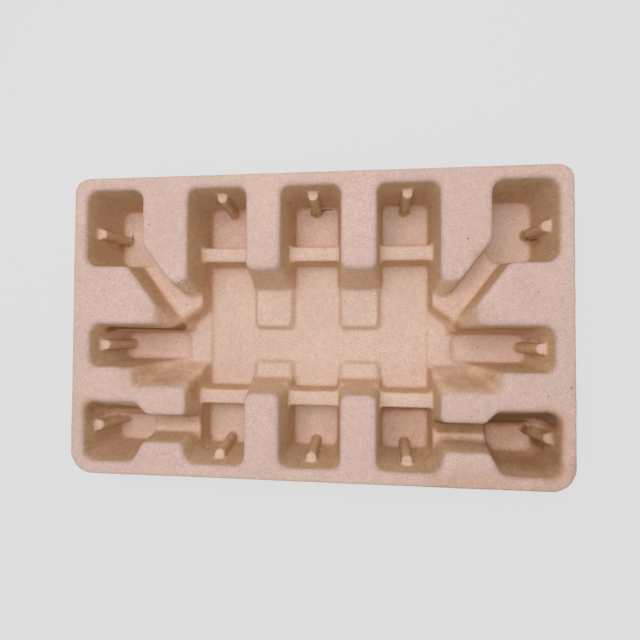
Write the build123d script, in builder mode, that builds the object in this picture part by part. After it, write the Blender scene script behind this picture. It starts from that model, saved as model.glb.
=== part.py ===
"""Moulded pulp tray with twelve edge cells round a stepped middle recess.

One skin of even thickness: every hollow is cut twice from the same wall lines, once as the cavity
and once grown by the wall as the back of the skin. Millimetres, +Z up, origin on the underside at
the middle of the footprint, +X along the length.
"""

import os
from math import cos, radians, sin, tan

from build123d import *

# Outline and skin
length = 400.0
width = 246.0
far_radius = 13.0
near_radius = 20.0
wall = 3.0

# Depths below the rim: pocket floors, ledges (bars, channels, passages), sills, pads, rib tops
floor_depth = 55.5
ledge_depth = 31.0
sill_depth = 50.5
pad_depth = 47.0
rib_depth = 17.0
height = floor_depth + wall

# Rows of cells, as distances from the middle at the rim
top_row = 113.0
bottom_row = 113.4
corner_out = 190.0
corner_in = 140.6
corner_near = 48.7
cell_out = 102.2
cell_in = 52.6
centre_cell = 24.7
side_out = 186.6
side_far = 0.9
side_near = -35.2

# Columns between the inner cells, and the points where they end towards the middle
top_column_end = 46.0
bottom_column_end = -55.0

# Diagonal channels: run of the axis, and the two edges and the end as distances along and across it
channel_run = 52.5
channel_inner = 70.9
channel_outer = 92.4
channel_end = 75.0
inner_tip = 35.5
outer_tip = 129.0

# Blocks between side and bottom corner cells, with the notch that leads into the middle
notch_out = 148.0
block_far = -51.7
block_near = -73.5
corner_far = -62.9
block_slant_x = 135.0
block_slant_run = 45.0

# Bottom peninsulas, and the passages beside them at ledge depth
peninsula_top = -96.5
peninsula_foot = 147.0
peninsula_toe = 100.6
peninsula_outer_run = 118.0
peninsula_inner_run = 253.6
passage_out = 142.0

# Bars across the inner cells at ledge depth
top_bar_near = 56.2
top_bar_far = 68.2
bottom_bar_near = -55.8
bottom_bar_far = -67.5

# Pads at the column feet
pad_in = 23.2
pad_out = 53.6
top_pad_end = 0.5
bottom_pad_end = -33.5
pad_tail = 6.0

# Sill between each side cell and the middle
sill_in = 90.0
sill_foot = 119.5

# Ribs on the outer wall of each cell
rib_radius = 4.7
rib_reach = 5.8
rib_lean = 3.0
rib_corner_top = 79.5
rib_corner_bottom = -86.5
rib_side = -17.3
rib_cell = 77.6

# Draft angles in degrees
draft_cell = 6.0
draft_near = 8.4
draft_out = 4.9
draft_corner = 5.0
draft_channel = 5.0
draft_lead = 20.0
draft_column = 17.0
draft_foot = 12.0
draft_side = 8.0
draft_slope = 21.0
draft_block = 9.0
draft_bar = 7.0
draft_sill = 35.0
draft_pad = 25.0

# Plan radii of inside and outside corners, and of the edges in section
round_cell = 7.0
round_corner = 9.0
round_tip = 7.0
round_nose = 8.5
round_block = 5.0
round_bevel = 4.0
round_pad = 6.0
round_back = 1.5
crease = 0.0
corner_share = 0.46
bevel_share = 0.6
rim_bevel = 2.4
floor_bevel = 2.5

east = 0.0
north = 90.0
west = 180.0
south = 270.0


def side(x, y, run, draft, base=0.0):
    """One wall: a point on it at the base depth, its run with the hollow on the right, its draft."""
    along = Vector(cos(radians(run)), sin(radians(run)))
    inward = Vector(sin(radians(run)), -cos(radians(run)))
    return Vector(x, y), along, inward, radians(draft), base


def meet(first, second, depth, grow):
    """Point where two walls cross at a depth, both moved back by the grown thickness."""
    lines = []
    for start, along, inward, draft, base in (first, second):
        shift = (depth - base) * tan(draft) - grow / cos(draft)
        lines.append((start + inward * shift, along))
    (p, u), (q, v) = lines
    turn = u.X * v.Y - u.Y * v.X
    reach = ((q.X - p.X) * v.Y - (q.Y - p.Y) * v.X) / turn
    return p + u * reach


def ring(sides, depth, grow):
    """Corners of a hollow at one depth, from the walls that bound it in order."""
    lift = Vector(0, 0, height - depth)
    return [meet(sides[i - 1], sides[i], depth, grow) + lift for i in range(len(sides))]


def hollow(sides, radii, top, bottom, grow=0.0, foot=0.0):
    """Solid filling a hollow between two depths. Its upright edges are rounded, or bevelled where they are
    small or on the back of the skin, and its foot is bevelled."""
    count = len(sides)
    upper = ring(sides, top, grow)
    lower = ring(sides, bottom, grow)
    skins = [Face(Wire.make_polygon(upper)), Face(Wire.make_polygon(lower))]
    for i in range(count):
        j = (i + 1) % count
        skins.append(Face(Wire.make_polygon([upper[i], upper[j], lower[j], lower[i]])))
    with BuildPart() as form:
        add(Solid(Shell(skins)))
        for i in range(count):
            before = upper[i - 1] - upper[i]
            after = upper[(i + 1) % count] - upper[i]
            half = radians(before.get_angle(after)) / 2
            inside = before.X * after.Y - before.Y * after.X > 0
            wanted = radii[i] + grow if inside else max(radii[i] - grow, round_back)
            spans = [before.length, after.length]
            spans += [(lower[i - 1] - lower[i]).length, (lower[(i + 1) % count] - lower[i]).length]
            reach = min(wanted / tan(half), corner_share * min(spans))
            upright = form.edges().sort_by_distance((upper[i] + lower[i]) / 2)[0]
            if grow or radii[i] == round_bevel:
                chamfer(upright, bevel_share * reach)
            elif radii[i] > crease:
                fillet(upright, reach * tan(half))
        if foot:
            chamfer(form.faces().sort_by(Axis.Z)[0].edges(), foot)
    return form.part


def flip(sides):
    """The same walls on the other side of the length's middle, in order."""
    turned = []
    for start, along, inward, draft, base in reversed(sides):
        start = Vector(-start.X, start.Y)
        along = Vector(along.X, -along.Y)
        inward = Vector(-inward.X, inward.Y)
        turned.append((start, along, inward, draft, base))
    return turned


# Walls of the mouth, from the middle of the far side round the right half
far_wall = side(0, top_row, east, draft_cell)
near_wall = side(0, -bottom_row, west, draft_near)
centre_wall = side(centre_cell, 0, south, draft_cell)
inner_wall = side(cell_in, 0, north, draft_cell)
outer_wall = side(cell_out, 0, south, draft_out)
top_column = side(0, top_column_end, east, draft_column)
bottom_column = side(0, bottom_column_end, west, draft_foot)
inner_point = side(0, inner_tip, east, draft_lead)
run = radians(channel_run)
across = Vector(sin(run), -cos(run))
channel_left = side(across.X * channel_inner, across.Y * channel_inner, channel_run, draft_channel)
channel_right = side(across.X * channel_outer, across.Y * channel_outer, channel_run + west, draft_channel)
corner_side = side(corner_in, 0, north, draft_corner)
corner_wall = side(corner_out, 0, south, draft_cell)
corner_foot = side(0, corner_near, west, draft_cell)
outer_point = side(outer_tip, 0, south, draft_lead)
side_top = side(0, side_far, east, draft_side)
side_wall = side(side_out, 0, south, draft_side)
side_foot = side(0, side_near, west, draft_corner)
notch = side(notch_out, 0, south, draft_lead)
slope = side(0, block_far, west, draft_slope)
block_under = side(0, block_near, east, draft_block)
block_slant = side(block_slant_x, block_near, block_slant_run, draft_block)
corner_top = side(0, corner_far, east, draft_slope)
peninsula_outer = side(peninsula_foot, -bottom_row, peninsula_outer_run, draft_side)
peninsula_end = side(0, peninsula_top, west, draft_side)
peninsula_inner = side(peninsula_toe, -bottom_row, peninsula_inner_run, draft_side)

right_mouth = [
    far_wall, centre_wall, top_column, inner_wall, far_wall, outer_wall, inner_point, channel_left,
    corner_side, far_wall, corner_wall, corner_foot, channel_right, outer_point, side_top, side_wall,
    side_foot, notch, slope, outer_wall, block_under, block_slant, corner_top, corner_wall, near_wall,
    peninsula_outer, peninsula_end, peninsula_inner, near_wall, inner_wall, bottom_column, centre_wall,
    near_wall,
]
right_radii = [
    round_cell, round_tip, round_tip, round_cell, round_cell, round_tip, round_tip, round_tip,
    round_corner, round_corner, round_corner, round_tip, round_nose, round_nose, round_corner,
    round_cell, round_bevel, round_bevel, round_block, round_block, round_block, round_block,
    round_corner, round_corner, round_corner, round_block, round_block, round_corner, round_cell,
    round_tip, round_tip, round_cell,
]


def both_halves(sides, radii):
    """A hollow that spans the middle: the right half's walls and corners joined to their mirror."""
    return sides + flip(sides)[1:-1], radii[:1] + radii + radii[:0:-1]


mouth, mouth_radii = both_halves(right_mouth, right_radii)

# Walls that begin at ledge depth, and the slope up to the sill from the floor of a side cell
top_bar = side(0, top_bar_near, east, draft_bar, ledge_depth)
top_bar_back = side(0, top_bar_far, west, draft_bar, ledge_depth)
bottom_bar = side(0, bottom_bar_near, west, draft_bar, ledge_depth)
bottom_bar_back = side(0, bottom_bar_far, east, draft_bar, ledge_depth)
ahead = Vector(cos(run), sin(run))
channel_foot = ahead * channel_end
channel_step = side(channel_foot.X, channel_foot.Y, channel_run - north, draft_column, ledge_depth)
passage_step = side(passage_out, 0, north, draft_cell, ledge_depth)
sill_slope = side(sill_foot, 0, north, draft_sill, floor_depth)
sill_back = side(sill_in, 0, north, draft_sill, floor_depth)

middle, middle_radii = both_halves(
    [
        top_bar, centre_wall, top_column, inner_wall, top_bar, outer_wall,
        bottom_bar, inner_wall, bottom_column, centre_wall, bottom_bar,
    ],
    [
        crease, round_tip, round_tip, crease, crease,
        crease, crease, round_tip, round_tip, crease,
    ],
)
top_cell = [far_wall, outer_wall, top_bar_back, inner_wall]
bottom_cell = [bottom_bar_back, outer_wall, peninsula_inner, near_wall, inner_wall]
top_centre = [far_wall, centre_wall, top_bar_back] + flip([centre_wall])
bottom_centre = [bottom_bar_back, centre_wall, near_wall] + flip([centre_wall])
top_corner = [far_wall, corner_wall, corner_foot, corner_side]
bottom_corner = [corner_top, corner_wall, near_wall, peninsula_outer, passage_step]
side_cell = [side_top, side_wall, side_foot, sill_slope]
sill = [channel_step, outer_point, side_top, notch, slope, sill_back]

pockets = [
    (middle, middle_radii, floor_depth),
    (top_centre, [round_cell, round_cell, crease, crease], floor_depth),
    (bottom_centre, [crease, crease, round_cell, round_cell], floor_depth),
]
for walls, radii, depth in (
    (top_cell, [round_cell, round_cell, crease, crease], floor_depth),
    (bottom_cell, [crease, crease, round_corner, round_corner, round_cell], floor_depth),
    (top_corner, [round_corner] * len(top_corner), floor_depth),
    (bottom_corner, [crease] + [round_corner] * 3 + [crease], floor_depth),
    (side_cell, [round_bevel, round_corner, round_cell, round_bevel], floor_depth),
    (sill, [round_bevel] * len(sill), sill_depth),
):
    pockets.append((walls, radii, depth))
    pockets.append((flip(walls), radii[:1] + radii[:0:-1], depth))

# Pads: raised squares at the column feet, wider towards the floor
pads = []
for pad_far, pad_near in (
    (top_column_end - pad_tail, top_pad_end),
    (bottom_pad_end, bottom_column_end + pad_tail),
):
    pad = [
        side(0, pad_far, east, -draft_pad, pad_depth),
        side(pad_out, 0, south, -draft_pad, pad_depth),
        side(0, pad_near, west, -draft_pad, pad_depth),
        side(pad_in, 0, north, -draft_pad, pad_depth),
    ]
    pads.append(pad)
    pads.append(flip(pad))
pad_radii = [round_pad] * len(pad)

# Ribs: a wall and the place along it
ribs = []
for walls, place in (
    (corner_wall, -rib_corner_top),
    (side_wall, -rib_side),
    (corner_wall, -rib_corner_bottom),
    (far_wall, rib_cell),
    (near_wall, -rib_cell),
):
    ribs.append((walls, place))
    ribs.append((flip([walls])[0], -place))
ribs.append((far_wall, 0.0))
ribs.append((near_wall, 0.0))


with BuildPart() as posts:
    for (start, along, inward, draft, base), place in ribs:
        lean = inward * tan(draft + radians(rib_lean)) - Vector(0, 0, 1)
        head = start + along * place + inward * (rib_reach - rib_radius) + Vector(0, 0, height)
        with BuildSketch(Plane(origin=head, z_dir=lean)):
            Circle(rib_radius)
        extrude(amount=height)
    split(bisect_by=Plane.XY.offset(height - rib_depth), keep=Keep.BOTTOM)

cuts = [hollow(mouth, mouth_radii, 0.0, ledge_depth)]
skins = [hollow(mouth, mouth_radii, wall / 2, ledge_depth + wall, wall)]
for walls, radii, depth in pockets:
    bevel = floor_bevel if depth == floor_depth else 0.0
    cuts.append(hollow(walls, radii, ledge_depth, depth, 0.0, bevel))
    skins.append(hollow(walls, radii, ledge_depth, depth + wall, wall, bevel))
pad_fronts = [hollow(walls, pad_radii, pad_depth, height) for walls in pads]
pad_backs = [hollow(walls, pad_radii, pad_depth + wall, height + wall, -wall) for walls in pads]

with BuildPart() as cavity:
    add(cuts)
    add(pad_fronts, mode=Mode.SUBTRACT)
    add(posts.part, mode=Mode.SUBTRACT)

with BuildPart() as back:
    add(skins)
    add(pad_backs, mode=Mode.SUBTRACT)

with BuildPart() as pulp_tray:
    with BuildSketch(Plane.XY.offset(height)):
        Rectangle(length, width)
        fillet(vertices().group_by(Axis.Y)[0], near_radius)
        fillet(vertices().group_by(Axis.Y)[-1], far_radius)
    extrude(amount=-wall)
    add(back.part)
    add(cavity.part, mode=Mode.SUBTRACT)
    chamfer(pulp_tray.faces().sort_by(Axis.Z)[-1].inner_wires()[0].edges(), rim_bevel)

os.makedirs("parts", exist_ok=True)
pulp_tray.part.label = "pulp_tray"
export_step(pulp_tray.part, "parts/pulp_tray.step")
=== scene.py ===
"""Moulded pulp tray: the pulp skin with rounded edges, ripples, cracks and grain, on a plain stage."""

import math

import bmesh
import bpy
import numpy as np
from bpy.props import FloatProperty, FloatVectorProperty, IntProperty, PointerProperty
from mathutils import Matrix, Vector
from mathutils.bvhtree import BVHTree


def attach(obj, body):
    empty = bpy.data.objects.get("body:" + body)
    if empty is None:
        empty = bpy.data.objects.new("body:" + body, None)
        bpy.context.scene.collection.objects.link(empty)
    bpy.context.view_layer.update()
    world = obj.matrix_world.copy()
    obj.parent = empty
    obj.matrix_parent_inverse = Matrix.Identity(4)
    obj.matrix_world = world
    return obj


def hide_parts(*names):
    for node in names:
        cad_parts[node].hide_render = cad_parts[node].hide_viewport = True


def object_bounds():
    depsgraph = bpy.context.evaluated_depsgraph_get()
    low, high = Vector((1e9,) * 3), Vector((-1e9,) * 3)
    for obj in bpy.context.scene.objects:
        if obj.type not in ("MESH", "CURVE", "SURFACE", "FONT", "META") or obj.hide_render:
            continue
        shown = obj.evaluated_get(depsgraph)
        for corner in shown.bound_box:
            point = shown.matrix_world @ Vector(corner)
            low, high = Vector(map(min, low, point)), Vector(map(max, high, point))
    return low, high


bl_info = {
    "name": "Moulded Pulp Tray",
    "version": (1, 0, 0),
    "blender": (4, 5, 0),
    "location": "View3D > Sidebar > Pulp Tray",
    "description": "Dresses the packed tray with its pulp skin and sets a plain stage round it",
    "category": "Object",
}

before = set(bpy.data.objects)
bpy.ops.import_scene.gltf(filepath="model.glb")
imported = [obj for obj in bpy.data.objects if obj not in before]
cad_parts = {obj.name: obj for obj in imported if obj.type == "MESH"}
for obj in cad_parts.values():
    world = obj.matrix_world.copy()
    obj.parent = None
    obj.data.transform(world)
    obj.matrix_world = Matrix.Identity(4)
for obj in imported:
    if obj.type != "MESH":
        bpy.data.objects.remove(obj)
cad_box = [list(corner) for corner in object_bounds()]

MM = 0.001
NODE = "pulp_tray"
RIM_HEIGHT = cad_box[1][2]
HALF_LENGTH = cad_box[1][0]
HALF_WIDTH = cad_box[1][1]
FAR_RADIUS = 13 * MM
NEAR_RADIUS = 20 * MM
MERGE_GAP = 0.002 * MM

# Rib posts, in millimetres: head at the level cut, and the way in from the wall that it leans on
SIDE_POSTS = ((187, 79.5), (187, -86.5), (182.8, -17.3))
POST_ROWS = ((110.1, -1), (-109.8, 1))
POST_COLUMNS = (-77.6, 0, 77.6)
RIBS = [((side * x, y), (-side, 0)) for side in (1, -1) for x, y in SIDE_POSTS]
RIBS += [((x, y), (0, way)) for y, way in POST_ROWS for x in POST_COLUMNS]
RIB_HEAD = 41.5
RIB_FOOT = 3.0
RIB_LEAN = math.tan(math.radians(8.5))

# Slimming of the posts, in millimetres: reach inwards, over the head and along the wall, and its fading
SLIM_INWARD = 9.0
SLIM_OVER = 3.0
SLIM_ALONG = 9.5
SLIM_FADE = 4.0
SLIM_WALL = 3.0
SLIM_HEAD = 1.5

# Shares of its width that a post loses: all over, at a side wall, at a far or near wall, more at the head
SLIM_ALL = 0.05
SLIM_SIDE = 0.12
SLIM_ROW = 0.25
SLIM_MORE = 1.3
SLIM_START = 0.3

# Rounding: steps of its shares, its strength, and how far the outline and the posts are spared it
SHARE_STEPS = 20
SMOOTHING = 0.5
EDGE_FADE = 5 * MM
EDGE_LEAST = 0.2
POST_CLEAR = 6.5 * MM
POST_FADE = 4 * MM
POST_LEAST = 0.08

# Boxes that keep crisper edges, in millimetres and mirrored in X: two corners, and the share held back
CRISP = {
    "far_pad": ((18, -5, 0), (60, 26, 14), 0.7),
    "near_pad": ((18, -39, 0), (60, -14, 14), 0.7),
    "near_bars": ((0, -73, 14), (103, -64, 30), 0.6),
}
CRISP_FADE = 4.0

# Boxes in which the pulp has run together, in millimetres and mirrored in X: two corners, fading and share
MELTED = {
    "notch": ((94, -54, 10), (160, -24, 70), 5.0, 1.0),
    "inner_tip": ((98, 22, 30), (114, 44, 70), 5.0, 1.0),
    "outer_tip": ((112, -4, 30), (134, 14, 70), 5.0, 1.0),
    "passage": ((104, -98, 20), (144, -72, 36), 4.0, 1.0),
    "channel_foot": ((96, -6, 8), (136, 38, 50), 6.0, 0.7),
    "far_column_foot": ((18, 24, 9), (60, 46, 44), 5.0, 0.6),
    "near_column_foot": ((18, -54, 9), (60, -38, 44), 5.0, 0.6),
}

# Length of the slow waves and of the small lumps
WAVE_LENGTH = 60 * MM
LUMP_LENGTH = 9 * MM

# Viewpoint over the tray, in millimetres, and the way that the picture's sides and depth run from it
VIEWPOINT = (48.75, -4.29, 418.59)
VIEW_RIGHT = Vector((0.993827, 0.005843, -0.110790))
VIEW_DOWN = Vector((0.003120, -0.999689, -0.024737))
VIEW_AHEAD = Vector((-0.110900, 0.024239, -0.993536))
SENSOR = 36.0
NEAREST = 0.01
FLOOR_HALF = 4.0
FLOOR_GLOW = 0.87

# Cracks and tears in the dried pulp, in millimetres: half width, depth and line, seen from the viewpoint
CRACKS = {
    "far_centre_foot": (0.6, 1.3, [(-6, 105, 3), (-6, 102, 3), (-2, 99, 6), (0, 100, 12), (4, 102, 12),
                                   (7, 106, 4), (14, 106, 4)]),
    "far_centre_pits": (0.5, 0.9, [(-21, 106, 29), (-20, 106, 25)]),
    "far_left_foot": (0.6, 1.2, [(-178, 86, 3), (-176, 82, 6), (-177, 77, 8)]),
    "far_right_foot": (0.4, 0.7, [(72, 104, 3), (73, 100, 3), (77, 98, 3), (81, 100, 4)]),
    "far_right_post": (0.8, 1.3, [(177, 80, 11), (178, 77, 12), (181, 75, 12)]),
    "far_right_post_under": (0.7, 0.9, [(177, 77, 10), (184, 75, 6), (186, 73, 20)]),
    "far_right_post_over": (0.5, 0.7, [(177, 80, 10), (179, 82, 19), (181, 80, 36)]),
    "left_tip_tear": (0.6, 0.4, [(-110, 34, 53), (-106, 36, 57), (-104, 37, 56), (-103, 35, 52),
                                 (-104, 32, 46), (-105, 29, 40)]),
    "left_block_nick": (0.45, 0.8, [(-123, -49, 51), (-119, -50, 53), (-116, -49, 52)]),
    "near_centre_line": (0.35, 0.5, [(-19, -97, 5), (-16, -103, 4)]),
}

# Run of a crack: length of its steps, sway of its jags, and how fast the sway turns from step to step
JAG_STEP = 0.9 * MM
JAG_SWAY = 0.35 * MM
JAG_TURN = 2.4
JAG_SLOW_TURN = 0.9

# Reach of each finer round of mesh at the cracks, and the least upward lean of a face that may crack
CRACK_REACHES = (3.0 * MM, 1.8 * MM)
CRACK_LEAN = -0.25

# Section of a crack, in half widths and depths: place, width and height of its lips, roundness, darkness
LIP_PLACE = 1.7
LIP_WIDTH = 0.9
LIP_HEIGHT = 0.22
CRACK_ROUND = 0.6
CRACK_DARK = 1.8

# Drying stains and painted shade: reach in millimetres, strength, and the line or single place that they
# spread from
STAINS_AND_SHADE = {
    # Partly drying stains, partly painted shade: the notches, channel feet, slopes and walls beside the
    # centre
    "left_notch": (20, 0.7, [(-146, -39, 54), (-140, -44, 40), (-122, -45, 41)]),
    "left_notch_end": (13, 0.8, [(-101, -54, 40)]),
    "right_notch": (18, 0.75, [(120, -44, 39), (141, -42, 42)]),
    "left_channel_foot": (22, 0.6, [(-110, 4, 22)]),
    "right_channel_foot": (20, 0.55, [(112, 10, 26)]),
    "left_slope": (10, 0.3, [(-130, 12, 58), (-126, 8, 52), (-122, 3, 39)]),
    "right_slope": (12, 0.4, [(121, 0, 37), (127, 4, 53), (133, 8, 58)]),
    "left_centre_wall": (26, 0.5, [(-99, 45, 24)]),
    "right_block_edge": (6, 0.5, [(126, 56, 58)]),
    # Painted shade: the side cells' far walls and floor, the far left wall, the posts' shadow sides and the
    # far floors
    "left_cell_far_wall": (10, 2.2, [(-176, -3, 36), (-151, -3, 32), (-118, -4, 26)]),
    "left_cell_floor": (34, 0.35, [(-168, -17, 3)]),
    "right_cell_far_wall": (9, 1.2, [(117, -1, 30), (142, -2, 39), (171, -2, 38)]),
    "far_left_wall": (22, 0.3, [(-189, 100, 40), (-189, 62, 40)]),
    "far_left_post": (8, 0.9, [(-184, 74, 10)]),
    "far_right_post": (7, 0.9, [(177, 77, 10), (184, 75, 6), (186, 73, 20)]),
    "far_left_floor": (18, 0.3, [(-78, 100, 3)]),
    "far_centre_floor": (18, 0.3, [(0, 100, 3)]),
    "far_right_floor": (18, 0.3, [(78, 100, 3)]),
    # Painted shade: the near cells' far walls, the passages, the floor strips beside the near bars and the
    # near right corner
    "near_left_cell": (16, 1.3, [(-186, -69, 48), (-177, -70, 39), (-160, -71, 37)]),
    "near_left_passage": (9, 1.2, [(-138, -81, 28), (-102, -81, 28)]),
    "near_left_passage_end": (14, 0.55, [(-100, -94, 30)]),
    "near_left_floor_edge": (6, 0.4, [(-96, -72, 4), (-61, -72, 4)]),
    "near_right_cell": (20, 2.2, [(150, -71, 38), (166, -70, 40), (182, -69, 44)]),
    "near_right_walls": (24, 1.1, [(188, -76, 42), (188, -95, 41), (180, -108, 30), (150, -108, 25)]),
    "near_right_post": (9, 1.5, [(177, -86, 12), (185, -94, 8), (187, -96, 27)]),
    "near_right_corner_floor": (36, 1.1, [(162, -86, 3)]),
    "near_right_cell_foot": (14, 2.2, [(150, -78, 19), (168, -77, 20)]),
    "near_right_passage": (10, 2.6, [(106, -81, 28), (142, -81, 28)]),
    "near_right_passage_floor": (16, 0.9, [(110, -85, 28), (140, -85, 28)]),
    "near_right_floor": (34, 0.7, [(78, -88, 3)]),
    "near_right_floor_edge": (7, 1.5, [(61, -72, 4), (96, -71, 4)]),
    "near_right_rim": (20, 0.7, [(100, -123, 57), (182, -123, 57), (198, -106, 57)]),
}

# Each stain and painted shade is full over the inner third of its reach
STAIN_AND_SHADE_FALL = 1.5

# Single dark specks that lie on the skin, in millimetres: level, and each speck's place on it and radius
SPECKS = {
    RIM_HEIGHT / MM: [
        (122, 67, 0.9), (173, 26, 0.8), (140, 15, 0.6), (196, -45, 0.9), (-124, 60, 0.6), (-158, 20, 0.6),
        (-134, 83, 0.8), (-119, -105, 0.8),
    ],
    11.5: [(25, 22, 0.7)],
    RIB_FOOT: [(141, -17, 0.8)],
}
SPECK_CORE = 0.5
SPECK_STRENGTH = 0.8

# Finish of the pulp: dull, with a fibrous surface
DULLNESS = 0.94
GLOSS = 0.1
FIBRE_STRENGTH = 0.6
FIBRE_HEIGHT = 0.6 * MM
FIBRE_PART = 0.7
GRAIN_PART = 0.3

# Patterns of the pulp: lumps in a metre, detail and roughness
GRAIN = (1250.0, 2.0, 0.6)
MOTTLE = (210.0, 4.0, 0.62)
STREAKS = (420.0, 2.0, 0.5)
STREAK_STRETCH = (1.0, 1.0, 0.13)
DRIFT = (17.0, 3.0, 0.5)
BLOTCHES = (26.0, 3.0, 0.55)
PATCHES = (70.0, 4.0, 0.6)
FIBRES = (480.0, 6.0, 0.7)

# What a pattern becomes: its range, and the shares or shades at both ends
GRAIN_SHADE = (0.25, 0.75, -0.2, 0.2)
MOTTLE_SHADE = (0.25, 0.75, 0.94, 1.06)
DRIFT_SHADE = (0.3, 0.7, -0.03, 0.03)
STREAK_SHARE = (0.48, 0.75, 0.0, 0.3)
BLOTCH_SHARE = (0.5, 0.72, 0.0, 0.22)
PATCH_SHARE = (0.3, 0.68, 0.4, 1.0)

# Range of a face's tilt, from 0 on a wall to 1 on a floor, over which a tone starts and is full
# The slope masks place the painted bounce light; the wall mask places the browner walls, partly painted
# shade
SLOPE_FROM_LEVEL = (0.94, 0.78)
SLOPE_FROM_WALL = (0.12, 0.4)
WALL_FROM_SLOPE = (0.5, 0.06)
# Share of the stains and painted shade, less on level faces
STAIN_AND_SHADE_ON_LEVEL = (0.75, 0.97, 1.0, 0.6)

# Heights over which a tone starts and is full
SLOPE_BELOW_RIM = (RIM_HEIGHT - 2 * MM, RIM_HEIGHT - 10 * MM)
SLOPE_ABOVE_FLOOR = (13 * MM, 22 * MM, 0.45, 1.0)
DEEP_BELOW_RIM = (RIM_HEIGHT - 2 * MM, RIM_HEIGHT - 26 * MM)

# Darkest places: range of a strong stain mark and its share of painted deep shade, and the tones of painted
# deep shade, cracks and streaks
STRONG_SHADE_SHARE = (1.0, 1.9, 0.0, 0.8)
SHADE_AND_CRACK_DARKNESS = 0.45
CRACK_SHARE = 0.8
STREAK_DARKNESS = 0.5

# Dark fibre ends: number in a metre, radius in spacings and strength; which of them show; their core
FIBRE_ENDS = ((330.0, 0.2, 0.72), (150.0, 0.11, 0.9))
FIBRE_ENDS_SHOWN = (0.94, 0.98)
FIBRE_END_CORE = 0.4


class PulpSettings(bpy.types.PropertyGroup):
    """Sizes and tones of the pulp skin."""

    cell: FloatProperty(
        name="Cell", description="Side of the cells that the skin is meshed with",
        default=1.4 * MM, subtype="DISTANCE", unit="LENGTH",
    )
    rounding: IntProperty(
        name="Rounding", description="Smoothing passes that round the rim, floor and bar edges", default=10,
    )
    waves: FloatProperty(
        name="Waves", description="Height of the slow waves from drying",
        default=1.0 * MM, subtype="DISTANCE", unit="LENGTH",
    )
    lumps: FloatProperty(
        name="Lumps", description="Height of the small lumps of the pulp",
        default=0.5 * MM, subtype="DISTANCE", unit="LENGTH",
    )
    melting: IntProperty(
        name="Melting", description="Further passes where the pulp runs together in soft slopes", default=24,
    )
    triangles: IntProperty(
        name="Triangles", description="Most triangles that the skin may have before its cracks",
        default=179000,
    )
    rim_tone: FloatVectorProperty(
        name="Rim", description="Tone of the dry pulp on the rim", subtype="COLOR", size=3,
        default=(0.645, 0.46, 0.398), min=0.0, max=1.0,
    )
    # Painted light: a lighter copy of the rim tone, taken on with depth below the rim
    deep_painted_light_tone: FloatVectorProperty(
        name="Floors", description="Warmer tone of the floors", subtype="COLOR", size=3,
        default=(0.71, 0.52, 0.428), min=0.0, max=1.0,
    )
    # Painted bounce light: a lighter, redder tone on the slopes
    slope_bounce_light_tone: FloatVectorProperty(
        name="Slopes", description="Redder tone of the slopes", subtype="COLOR", size=3,
        default=(0.77, 0.53, 0.38), min=0.0, max=1.0,
    )
    # Partly painted shade: browner on upright faces, partly the pulp's own colour
    wall_and_shade_tone: FloatVectorProperty(
        name="Walls", description="Browner tone of the drawn walls", subtype="COLOR", size=3,
        default=(0.645, 0.435, 0.262), min=0.0, max=1.0,
    )
    # Tone of the drying stains and of the painted shade
    stain_and_shade_tone: FloatVectorProperty(
        name="Stains", description="Tone of the drying stains", subtype="COLOR", size=3,
        default=(0.50, 0.28, 0.145), min=0.0, max=1.0,
    )
    speck_tone: FloatVectorProperty(
        name="Specks", description="Tone of the dark fibres and specks", subtype="COLOR", size=3,
        default=(0.15, 0.09, 0.06), min=0.0, max=1.0,
    )


class StageSettings(bpy.types.PropertyGroup):
    """Light, floor and camera."""

    floor_tone: FloatVectorProperty(
        name="Floor", description="Tone of the plain floor", subtype="COLOR", size=3,
        default=(0.742, 0.742, 0.742), min=0.0, max=1.0,
    )
    key: FloatProperty(
        name="Key", description="Power of the broad lamp overhead", default=5.1,
        subtype="POWER", unit="POWER",
    )
    key_width: FloatProperty(
        name="Key width", description="Width of the round lamp, which softens its shadows",
        default=0.75, subtype="DISTANCE", unit="LENGTH",
    )
    key_place: FloatVectorProperty(
        name="Key place", description="Where the lamp hangs", default=(-0.08, 0.15, 0.9),
        size=3, subtype="XYZ", unit="LENGTH",
    )
    fill: FloatProperty(name="Fill", description="Strength of the light from all round", default=0.46)
    lens: FloatProperty(
        name="Lens", description="Focal length on a 36 mm sensor", default=25.907,
        subtype="DISTANCE_CAMERA",
    )


def baked(piece):
    """Applies the live modifiers of a piece to its mesh."""
    graph = bpy.context.evaluated_depsgraph_get()
    mesh = bpy.data.meshes.new_from_object(piece.evaluated_get(graph), depsgraph=graph)
    piece.modifiers.clear()
    old = piece.data
    piece.data = mesh
    bpy.data.meshes.remove(old)


def places(mesh):
    """Vertex places of a mesh as an array, in metres."""
    flat = np.empty(len(mesh.vertices) * 3, np.float32)
    mesh.vertices.foreach_get("co", flat)
    return flat.reshape(-1, 3).astype(float)


def weigh(piece, name, shares):
    """Makes a vertex group with one share for each vertex."""
    group = piece.vertex_groups.new(name=name)
    for step in range(SHARE_STEPS + 1):
        chosen = np.nonzero(np.round(shares * SHARE_STEPS) == step)[0]
        if len(chosen):
            group.add(chosen.tolist(), step / SHARE_STEPS, "REPLACE")


def line_distance(points, line):
    """Least distance of each point from a line of straight runs or from a single place, all in metres."""
    least = np.linalg.norm(points - np.array(line[0]), axis=1)
    for start, end in zip(line[:-1], line[1:]):
        start = np.array(start)
        run = np.array(end) - start
        along = np.clip((points - start) @ run / (run @ run), 0.0, 1.0)
        least = np.minimum(least, np.linalg.norm(points - start - along[:, None] * run, axis=1))
    return least


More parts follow.
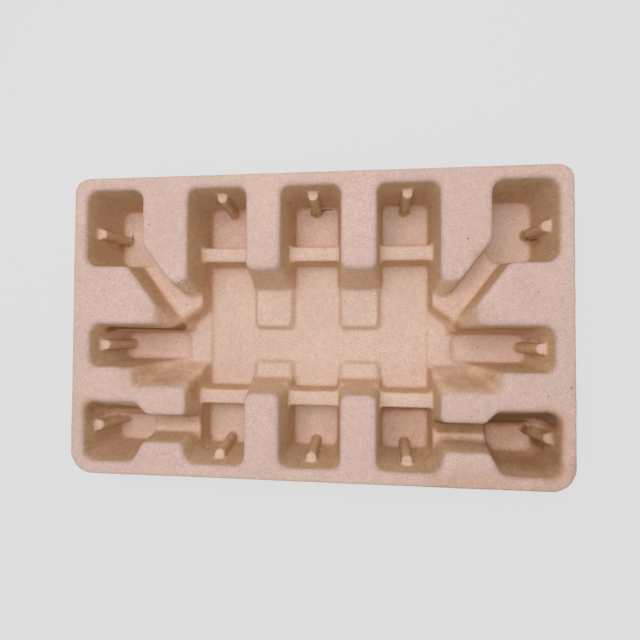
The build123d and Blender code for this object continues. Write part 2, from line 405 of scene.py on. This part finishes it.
def edge_distance(points):
    """How far each point lies inside the tray's rounded outline, in metres."""
    radius = np.where(points[:, 1] > 0, FAR_RADIUS, NEAR_RADIUS)
    dx = np.abs(points[:, 0]) - (HALF_LENGTH - radius)
    dy = np.abs(points[:, 1]) - (HALF_WIDTH - radius)
    corner = (dx > 0) & (dy > 0)
    return radius - np.where(corner, np.hypot(dx, dy), np.maximum(dx, dy))


def within(points, low, high, fade):
    """Share of each point in a box given in millimetres, mirrored in X, fading out over its edge."""
    spots = points / MM
    spots[:, 0] = np.abs(spots[:, 0])
    inside = np.minimum(spots - np.array(low), np.array(high) - spots).min(axis=1)
    return np.clip(inside / fade + 1.0, 0.0, 1.0)


def soft_shares(spots):
    """Share of the rounding that each point takes: less at the outline, the posts and the crisp edges."""
    shares = np.clip(edge_distance(spots) / EDGE_FADE, EDGE_LEAST, 1.0)
    fall = (RIB_HEAD - RIB_FOOT) * RIB_LEAN
    for (x, y), (inward_x, inward_y) in RIBS:
        foot = (x + inward_x * fall, y + inward_y * fall, RIB_FOOT)
        away = line_distance(spots, np.array([(x, y, RIB_HEAD), foot]) * MM)
        shares = np.minimum(shares, np.clip((away - POST_CLEAR) / POST_FADE, POST_LEAST, 1.0))
    for low, high, held in CRISP.values():
        shares = np.minimum(shares, 1.0 - held * within(spots, low, high, CRISP_FADE))
    return shares


def melt_shares(spots):
    """Share of the further smoothing that each point takes where the pulp has run together."""
    return np.maximum.reduce([
        share * within(spots, low, high, fade) for low, high, fade, share in MELTED.values()
    ])


def slim_ribs(mesh):
    """Draws the flanks of each rib post in next to the wall, where smoothing has spread them along it."""
    spots = places(mesh)
    for (x, y), (inward_x, inward_y) in RIBS:
        side = 1 if inward_x else 0
        offset = spots[:, side] / MM - (x, y)[side]
        inward = (spots[:, 0] / MM - x) * inward_x + (spots[:, 1] / MM - y) * inward_y
        inward -= (RIB_HEAD - spots[:, 2] / MM) * RIB_LEAN
        post = np.abs(inward) < SLIM_INWARD
        post &= spots[:, 2] < (RIB_HEAD + SLIM_OVER) * MM
        post &= spots[:, 2] > RIB_FOOT * MM
        head = np.clip(spots[:, 2] / MM - RIB_HEAD + SLIM_HEAD, 0.0, 1.0)
        wall = np.clip(SLIM_START - inward / SLIM_WALL, 0.0, 1.0)
        draw = SLIM_ALL + (SLIM_SIDE if inward_x else SLIM_ROW) * (1.0 + SLIM_MORE * head) * wall
        share = draw * np.clip((SLIM_ALONG - np.abs(offset)) / SLIM_FADE, 0.0, 1.0) * post
        spots[:, side] -= offset * share * MM
    mesh.vertices.foreach_set("co", spots.astype(np.float32).ravel())
    mesh.update()


def pulp_material(tones):
    """Dry moulded pulp: painted light on the floors and slopes, browner walls partly from painted shade,
    stains and painted shade, fine grain, fibres, specks and cracks.
    """
    material = bpy.data.materials.new("moulded_pulp")
    material.use_nodes = True
    tree = material.node_tree
    nodes = tree.nodes
    links = tree.links
    nodes.clear()
    output = nodes.new("ShaderNodeOutputMaterial")
    shader = nodes.new("ShaderNodeBsdfPrincipled")
    shader.inputs["Roughness"].default_value = DULLNESS
    shader.inputs["Specular IOR Level"].default_value = GLOSS
    links.new(shader.outputs["BSDF"], output.inputs["Surface"])
    place = nodes.new("ShaderNodeTexCoord")
    face = nodes.new("ShaderNodeNewGeometry")

    def noise(scale, detail, rough, stretch=None):
        """A noise pattern with a given number of lumps per metre."""
        pattern = nodes.new("ShaderNodeTexNoise")
        pattern.inputs["Scale"].default_value = scale
        pattern.inputs["Detail"].default_value = detail
        pattern.inputs["Roughness"].default_value = rough
        source = place.outputs["Object"]
        if stretch:
            turn = nodes.new("ShaderNodeMapping")
            turn.inputs["Scale"].default_value = stretch
            links.new(source, turn.inputs["Vector"])
            source = turn.outputs["Vector"]
        links.new(source, pattern.inputs["Vector"])
        return pattern.outputs["Fac"]

    def spread(value, low, high, to_low=0.0, to_high=1.0):
        """Maps a value from one range to another, held at both ends."""
        ramp = nodes.new("ShaderNodeMapRange")
        ramp.interpolation_type = "SMOOTHSTEP"
        ramp.inputs["From Min"].default_value = low
        ramp.inputs["From Max"].default_value = high
        ramp.inputs["To Min"].default_value = to_low
        ramp.inputs["To Max"].default_value = to_high
        links.new(value, ramp.inputs["Value"])
        return ramp.outputs["Result"]

    def fill(value, socket):
        """Puts a link, a number or a tone into a socket."""
        if isinstance(value, bpy.types.NodeSocket):
            links.new(value, socket)
        elif isinstance(value, float):
            socket.default_value = value
        else:
            socket.default_value = (*value, 1.0)

    def blend(share, first, second, kind="MIX"):
        """Mixes two tones by a share."""
        mix = nodes.new("ShaderNodeMix")
        mix.data_type = "RGBA"
        mix.blend_type = kind
        for value, socket in zip((share, first, second), [s for s in mix.inputs if s.enabled]):
            fill(value, socket)
        return [s for s in mix.outputs if s.enabled][0]

    def maths(kind, first, second=0.0):
        """One step of arithmetic on two values."""
        step = nodes.new("ShaderNodeMath")
        step.operation = kind
        for value, socket in zip((first, second), step.inputs):
            fill(value, socket)
        return step.outputs["Value"]

    def marked(name):
        """The share that a mark on the skin has at each place."""
        mark = nodes.new("ShaderNodeAttribute")
        mark.attribute_name = name
        return mark.outputs["Fac"]

    lean = nodes.new("ShaderNodeSeparateXYZ")
    links.new(face.outputs["Normal"], lean.inputs["Vector"])
    spot = nodes.new("ShaderNodeSeparateXYZ")
    links.new(place.outputs["Object"], spot.inputs["Vector"])
    height = spot.outputs["Z"]
    tilt = maths("ABSOLUTE", lean.outputs["Z"])
    slopes = maths("MULTIPLY", spread(tilt, *SLOPE_FROM_LEVEL), spread(tilt, *SLOPE_FROM_WALL))
    slopes = maths("MULTIPLY", slopes, spread(height, *SLOPE_BELOW_RIM))
    slopes = maths("MULTIPLY", slopes, spread(height, *SLOPE_ABOVE_FLOOR))
    walls = spread(tilt, *WALL_FROM_SLOPE)
    deep = spread(height, *DEEP_BELOW_RIM)
    grain = noise(*GRAIN)
    mottle = noise(*MOTTLE)
    streaks = noise(*STREAKS, STREAK_STRETCH)
    drift = noise(*DRIFT)

    # A darker tone for the painted deep shade and for the cracks
    shade_and_crack_tone = tuple(c * SHADE_AND_CRACK_DARKNESS for c in tones.stain_and_shade_tone)
    streak_tone = tuple(c * STREAK_DARKNESS for c in tones.wall_and_shade_tone)
    # Painted light and shade by height and tilt: a lighter tone below the rim, a lighter, redder one on
    # slopes, and browner walls, partly painted shade
    tone = blend(deep, tuple(tones.rim_tone), tuple(tones.deep_painted_light_tone))
    tone = blend(slopes, tone, tuple(tones.slope_bounce_light_tone))
    tone = blend(walls, tone, tuple(tones.wall_and_shade_tone))
    faint = maths("MULTIPLY", maths("MULTIPLY", walls, deep), spread(noise(*BLOTCHES), *BLOTCH_SHARE))
    tone = blend(faint, tone, tuple(tones.stain_and_shade_tone))
    # Drying stains and painted shade from their mark, patchy and less on level faces
    stain_and_shade = marked("stain_and_shade")
    patchy = maths("MULTIPLY", stain_and_shade, spread(noise(*PATCHES), *PATCH_SHARE))
    level = spread(tilt, *STAIN_AND_SHADE_ON_LEVEL)
    tone = blend(maths("MULTIPLY", patchy, level), tone, tuple(tones.stain_and_shade_tone))
    # Painted deep shade where the stain mark is strongest
    tone = blend(maths("MULTIPLY", spread(stain_and_shade, *STRONG_SHADE_SHARE), level), tone, shade_and_crack_tone)
    shade = maths("ADD", spread(mottle, *MOTTLE_SHADE), spread(grain, *GRAIN_SHADE))
    shade = maths("ADD", shade, spread(drift, *DRIFT_SHADE))
    grey = nodes.new("ShaderNodeCombineColor")
    for socket in grey.inputs:
        links.new(shade, socket)
    tone = blend(1.0, tone, grey.outputs["Color"], "MULTIPLY")
    tone = blend(maths("MULTIPLY", walls, spread(streaks, *STREAK_SHARE)), tone, streak_tone)

    for number, reach, strength in FIBRE_ENDS:
        dots = nodes.new("ShaderNodeTexVoronoi")
        dots.inputs["Scale"].default_value = number
        links.new(place.outputs["Object"], dots.inputs["Vector"])
        pick = nodes.new("ShaderNodeSeparateColor")
        links.new(dots.outputs["Color"], pick.inputs["Color"])
        shown = spread(pick.outputs["Red"], *FIBRE_ENDS_SHOWN)
        dot = spread(dots.outputs["Distance"], reach, reach * FIBRE_END_CORE)
        share = maths("MULTIPLY", maths("MULTIPLY", shown, dot), strength)
        tone = blend(share, tone, tuple(tones.speck_tone))

    for z, specks in SPECKS.items():
        for x, y, radius in specks:
            gap = nodes.new("ShaderNodeVectorMath")
            gap.operation = "DISTANCE"
            links.new(place.outputs["Object"], gap.inputs[0])
            gap.inputs[1].default_value = (x * MM, y * MM, z * MM)
            dot = spread(gap.outputs["Value"], radius * MM, radius * SPECK_CORE * MM, 0.0, SPECK_STRENGTH)
            tone = blend(dot, tone, tuple(tones.speck_tone))

    tone = blend(maths("MULTIPLY", marked("crack"), CRACK_SHARE), tone, shade_and_crack_tone)
    links.new(tone, shader.inputs["Base Color"])

    fibres = maths("MULTIPLY", noise(*FIBRES), FIBRE_PART)
    bump = nodes.new("ShaderNodeBump")
    bump.inputs["Strength"].default_value = FIBRE_STRENGTH
    bump.inputs["Distance"].default_value = FIBRE_HEIGHT
    links.new(maths("ADD", fibres, maths("MULTIPLY", grain, GRAIN_PART)), bump.inputs["Height"])
    links.new(bump.outputs["Normal"], shader.inputs["Normal"])
    return material


def crack_line(tree, line):
    """Lays a crack's line on the skin as seen from the viewpoint, with the small jags of a torn edge."""
    eye = Vector(VIEWPOINT) * MM
    laid = []
    for start, end in zip(line[:-1], line[1:]):
        start = Vector(start) * MM
        run = Vector(end) * MM - start
        steps = max(2, round(run.length / JAG_STEP))
        aside = run.cross(start - eye).normalized()
        for step in range(steps):
            jag = JAG_SWAY * math.sin(JAG_TURN * len(laid)) * math.cos(JAG_SLOW_TURN * len(laid))
            aim = start + run * (step / steps) + aside * jag
            hit = tree.ray_cast(eye, (aim - eye).normalized())[0]
            if hit:
                laid.append(tuple(hit))
    return laid


def refine(form, lines, reach):
    """Splits the faces of the upper side that lie within reach of a crack."""
    spots = np.array([v.co for v in form.verts])
    near = np.min([line_distance(spots, line) for _, _, line in lines], axis=0) < reach
    form.verts.index_update()
    upper = [f for f in form.faces if f.normal.z > CRACK_LEAN]
    edges = dict.fromkeys(e for f in upper if any(near[v.index] for v in f.verts) for e in f.edges)
    bmesh.ops.subdivide_edges(form, edges=list(edges), cuts=1, use_grid_fill=True)
    bmesh.ops.triangulate(form, faces=[f for f in form.faces if len(f.verts) > 4])
    form.normal_update()


def crack_skin(mesh):
    """Refines the skin along each crack, presses it in and lifts its lips. Marks cracks, and the stains and
    painted shade.
    """
    form = bmesh.new()
    form.from_mesh(mesh)
    tree = BVHTree.FromBMesh(form)
    lines = [(width * MM, depth * MM, crack_line(tree, line)) for width, depth, line in CRACKS.values()]
    for reach in CRACK_REACHES:
        refine(form, lines, reach)
    spots = np.array([v.co for v in form.verts])
    normals = np.array([v.normal for v in form.verts])
    facing = normals[:, 2] > CRACK_LEAN
    dark = np.zeros(len(spots))
    shift = np.zeros(len(spots))
    for width, depth, line in lines:
        near = line_distance(spots, line)
        inside = np.clip(1.0 - near / width, 0.0, 1.0) * facing
        lip = np.clip(1.0 - np.abs(near - LIP_PLACE * width) / (LIP_WIDTH * width), 0.0, 1.0) * facing
        shift += LIP_HEIGHT * depth * lip - depth * inside ** CRACK_ROUND
        dark = np.maximum(dark, np.clip(CRACK_DARK * inside, 0.0, 1.0) * min(1.0, depth / MM))
    # Drying stains and painted shade, spread from their lines
    stain_and_shade = np.zeros(len(spots))
    for reach, strength, line in STAINS_AND_SHADE.values():
        away = line_distance(spots, np.array(line) * MM) / (reach * MM)
        stain_and_shade = np.maximum(stain_and_shade, strength * np.clip(STAIN_AND_SHADE_FALL - STAIN_AND_SHADE_FALL * away, 0.0, 1.0))
    form.verts.ensure_lookup_table()
    for index in np.nonzero(shift)[0]:
        form.verts[index].co += Vector(normals[index] * shift[index])
    form.to_mesh(mesh)
    form.free()
    for name, values in (("crack", dark), ("stain_and_shade", stain_and_shade)):
        kept = mesh.attributes.new(name, "FLOAT", "POINT")
        kept.data.foreach_set("value", values.astype(np.float32))


class PULP_OT_tray(bpy.types.Operator):
    """Makes the pulp skin from the tray's solid, with rounded edges, cracks and the waves of dried pulp"""

    bl_idname = "pulp.tray"
    bl_label = "Pulp Tray"

    def execute(self, context):
        sizes = context.scene.pulp_tray
        form = bmesh.new()
        form.from_mesh(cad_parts[NODE].data)
        bmesh.ops.remove_doubles(form, verts=form.verts, dist=MERGE_GAP)
        mesh = bpy.data.meshes.new("moulded_tray")
        form.to_mesh(mesh)
        form.free()
        tray = bpy.data.objects.new("moulded_tray", mesh)
        context.scene.collection.objects.link(tray)

        cells = tray.modifiers.new("Cells", "REMESH")
        cells.mode = "VOXEL"
        cells.voxel_size = sizes.cell
        baked(tray)

        spots = places(tray.data)
        weigh(tray, "soft", soft_shares(spots))
        weigh(tray, "melt", melt_shares(spots))
        for group, passes in (("soft", sizes.rounding), ("melt", sizes.melting)):
            soft = tray.modifiers.new(group, "SMOOTH")
            soft.factor = SMOOTHING
            soft.iterations = passes
            soft.vertex_group = group
        baked(tray)
        slim_ribs(tray.data)

        for name, height, length, detail, way in (
            ("waves", sizes.waves, WAVE_LENGTH, 1, "Z"), ("lumps", sizes.lumps, LUMP_LENGTH, 2, "NORMAL"),
        ):
            cloud = bpy.data.textures.new(name, "CLOUDS")
            cloud.noise_scale = length
            cloud.noise_depth = detail
            wave = tray.modifiers.new(name, "DISPLACE")
            wave.texture = cloud
            wave.texture_coords = "LOCAL"
            wave.direction = way
            wave.strength = height
            wave.mid_level = 0.5
        baked(tray)

        count = sum(len(p.vertices) - 2 for p in tray.data.polygons)
        if count > sizes.triangles:
            thin = tray.modifiers.new("Thinning", "DECIMATE")
            thin.ratio = sizes.triangles / count
            baked(tray)
        tray.vertex_groups.clear()
        spots = places(tray.data)
        spots[:, 2] = np.maximum(spots[:, 2], 0.0)
        tray.data.vertices.foreach_set("co", spots.astype(np.float32).ravel())
        crack_skin(tray.data)
        if not tray.data.polygons:
            raise RuntimeError("the pulp skin came out empty")
        tray.data.shade_smooth()
        tray.data.materials.clear()
        tray.data.materials.append(pulp_material(sizes))
        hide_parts(NODE)
        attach(tray, "root")
        return {"FINISHED"}


class PULP_OT_stage(bpy.types.Operator):
    """Sets the plain floor, the soft light and the camera over the tray"""

    bl_idname = "pulp.stage"
    bl_label = "Stage"

    def execute(self, context):
        values = context.scene.pulp_stage
        scene = context.scene
        form = bmesh.new()
        bmesh.ops.create_grid(form, x_segments=2, y_segments=2, size=FLOOR_HALF)
        mesh = bpy.data.meshes.new("studio_floor")
        form.to_mesh(mesh)
        form.free()
        floor = bpy.data.objects.new("studio_floor", mesh)
        scene.collection.objects.link(floor)
        paint = bpy.data.materials.new("floor_paper")
        paint.use_nodes = True
        tree = paint.node_tree
        tree.nodes.clear()
        output = tree.nodes.new("ShaderNodeOutputMaterial")
        matt = tree.nodes.new("ShaderNodeBsdfDiffuse")
        matt.inputs["Color"].default_value = (*values.floor_tone, 1.0)
        glow = tree.nodes.new("ShaderNodeEmission")
        glow.inputs["Color"].default_value = (*values.floor_tone, 1.0)
        path = tree.nodes.new("ShaderNodeLightPath")
        share = tree.nodes.new("ShaderNodeMath")
        share.operation = "MULTIPLY"
        share.inputs[1].default_value = FLOOR_GLOW
        tree.links.new(path.outputs["Is Camera Ray"], share.inputs[0])
        mix = tree.nodes.new("ShaderNodeMixShader")
        tree.links.new(share.outputs["Value"], mix.inputs["Fac"])
        tree.links.new(matt.outputs["BSDF"], mix.inputs[1])
        tree.links.new(glow.outputs["Emission"], mix.inputs[2])
        tree.links.new(mix.outputs["Shader"], output.inputs["Surface"])
        floor.data.materials.append(paint)

        world = bpy.data.worlds.new("studio_air")
        world.use_nodes = True
        air = world.node_tree.nodes["Background"]
        air.inputs["Color"].default_value = (1.0, 1.0, 1.0, 1.0)
        air.inputs["Strength"].default_value = values.fill
        scene.world = world

        lamp = bpy.data.lights.new("overhead_lamp", "AREA")
        lamp.shape = "DISK"
        lamp.size = values.key_width
        lamp.energy = values.key
        holder = bpy.data.objects.new("overhead_lamp", lamp)
        holder.location = values.key_place
        holder.rotation_euler = Vector(values.key_place).to_track_quat("Z", "Y").to_euler()
        scene.collection.objects.link(holder)

        lens = bpy.data.cameras.new("viewpoint")
        lens.sensor_width = SENSOR
        lens.lens = values.lens
        lens.clip_start = NEAREST
        camera = bpy.data.objects.new("viewpoint", lens)
        sides = zip(VIEW_RIGHT, -VIEW_DOWN, -VIEW_AHEAD, VIEWPOINT)
        rows = [(right, up, back, place * MM) for right, up, back, place in sides]
        camera.matrix_world = Matrix((*rows, (0.0, 0.0, 0.0, 1.0)))
        scene.collection.objects.link(camera)
        scene.camera = camera
        scene.view_settings.view_transform = "Standard"
        return {"FINISHED"}


class VIEW3D_PT_pulp_tray(bpy.types.Panel):
    """Lists the tray's settings and operators"""

    bl_label = "Pulp Tray"
    bl_space_type = "VIEW_3D"
    bl_region_type = "UI"
    bl_category = "Pulp Tray"

    def draw(self, context):
        for group in (context.scene.pulp_tray, context.scene.pulp_stage):
            box = self.layout.box()
            for name in group.__annotations__:
                box.prop(group, name)
        self.layout.operator(PULP_OT_tray.bl_idname)
        self.layout.operator(PULP_OT_stage.bl_idname)


CLASSES = (PulpSettings, StageSettings, PULP_OT_tray, PULP_OT_stage, VIEW3D_PT_pulp_tray)


def register():
    for made in CLASSES:
        bpy.utils.register_class(made)
    bpy.types.Scene.pulp_tray = PointerProperty(type=PulpSettings)
    bpy.types.Scene.pulp_stage = PointerProperty(type=StageSettings)


def unregister():
    del bpy.types.Scene.pulp_stage
    del bpy.types.Scene.pulp_tray
    for made in reversed(CLASSES):
        bpy.utils.unregister_class(made)


def main():
    register()
    bpy.ops.pulp.tray()
    bpy.ops.pulp.stage()


if __name__ == "__main__":
    main()
